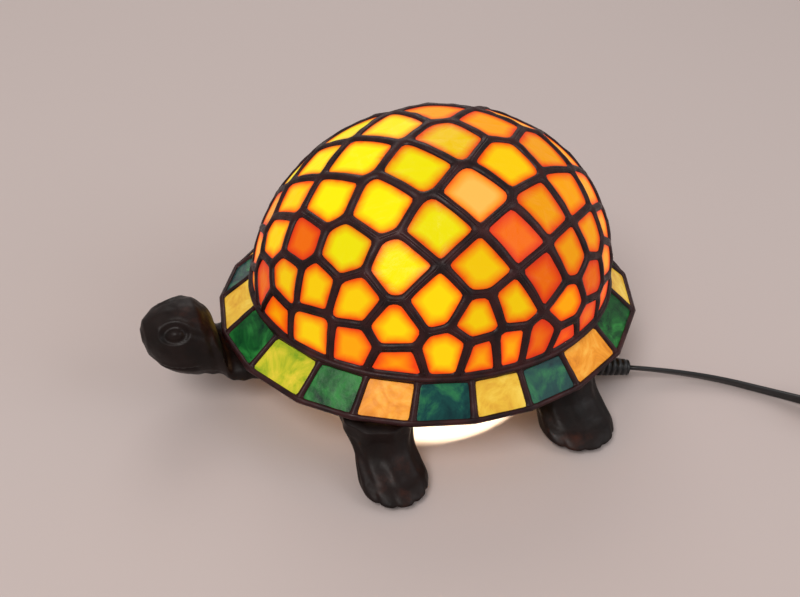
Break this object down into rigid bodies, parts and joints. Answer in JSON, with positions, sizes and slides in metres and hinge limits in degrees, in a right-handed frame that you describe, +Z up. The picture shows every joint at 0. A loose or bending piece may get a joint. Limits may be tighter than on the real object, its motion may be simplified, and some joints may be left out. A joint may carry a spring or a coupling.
{
  "type": "table lamp",
  "caption": "Accent lamp in the shape of a turtle: a domed leaded stained-glass shell over a low cast base, with a horizontal bulb, a flat cord, an inline thumbwheel switch and a plug.",
  "frame": {"origin": "on the table, under the middle of the lamp's own box (the cord is left out)", "axes": "+Z up, -X towards the head, +X towards the tail, -Y the lamp's right flank, where the cord leaves"},
  "size_m": [0.4035, 0.281, 0.1182],
  "materials": {
    "glass_yellow": "opalescent",
    "glass_amber": "opalescent",
    "glass_orange": "opalescent",
    "glass_red": "opalescent",
    "glass_pale": "opalescent",
    "glass_green": "opalescent",
    "glass_teal": "opalescent",
    "glass_cream": "opalescent",
    "glass_lime": "opalescent",
    "dark_solder": "dark patina",
    "brass": "plain",
    "bronze_casting": "dark bronze, satin",
    "steel": "zinc plated",
    "pad_rubber": "matte",
    "black_phenolic": "satin",
    "nickel": "bright",
    "bulb_black_glass": "gloss",
    "clear_glass": "clear",
    "cord_black": "satin",
    "switch_black": "satin",
    "lead_wire": "satin"
  },
  "bodies": {
    "base": {"base_frame": "bronze_casting", "bracket_screws": "steel", "cord_coil": "cord_black", "cord_strain_relief": "cord_black", "cord_tie": "cord_black", "cord_to_coil": "cord_black", "cord_to_plug": "cord_black", "cord_to_switch": "cord_black", "foot_pads": "pad_rubber", "head": "bronze_casting", "head_screws": "steel", "inner_leads": "lead_wire", "leg_front_left": "bronze_casting", "leg_front_right": "bronze_casting", "leg_rear_left": "bronze_casting", "leg_rear_right": "bronze_casting", "leg_screws": "steel", "plug_blades": "brass", "plug_body": "switch_black", "socket_body": "black_phenolic", "socket_bracket": "steel", "socket_cap": "black_phenolic", "socket_contact": "brass", "socket_nipple": "brass", "socket_nuts": "brass", "socket_screw_shell": "nickel", "socket_washer": "steel", "switch_axle": "steel", "switch_base": "switch_black", "switch_contacts": "brass", "switch_cover": "switch_black", "switch_screws": "steel", "tail": "bronze_casting", "tail_screw": "steel", "terminal_screws": "brass"},
    "shade": {"dome_glass_amber": "glass_amber", "dome_glass_orange": "glass_orange", "dome_glass_pale": "glass_pale", "dome_glass_red": "glass_red", "dome_glass_yellow": "glass_yellow", "dome_solder": "dark_solder", "rim_came": "dark_solder", "shade_tabs": "brass", "skirt_glass_amber": "glass_amber", "skirt_glass_cream": "glass_cream", "skirt_glass_green": "glass_green", "skirt_glass_lime": "glass_lime", "skirt_glass_teal": "glass_teal", "skirt_solder": "dark_solder", "waist_bead": "dark_solder"},
    "bulb": {"bulb_cap": "nickel", "bulb_glass": "clear_glass", "bulb_stem": "clear_glass", "bulb_filament": "steel", "filament_supports": "steel", "bulb_insulator": "bulb_black_glass", "bulb_tip_contact": "nickel"},
    "switch_wheel": {"switch_wheel": "switch_black"}
  },
  "joints": [
    {"name": "shade_lift", "type": "slide", "parent": "base", "child": "shade", "axis": [0, 0, 1], "range_m": [0, 0.1]},
    {"name": "bulb_turn", "type": "hinge", "parent": "base", "child": "bulb", "pos_m": [0.01675, 0, 0.062], "axis": [-1, 0, 0], "range_deg": [0, 1080]},
    {"name": "switch_wheel_turn", "type": "hinge", "parent": "base", "child": "switch_wheel", "pos_m": [0.18677, -0.12087, 0.0075], "axis": [0, 0, 1], "continuous": true}
  ]
}
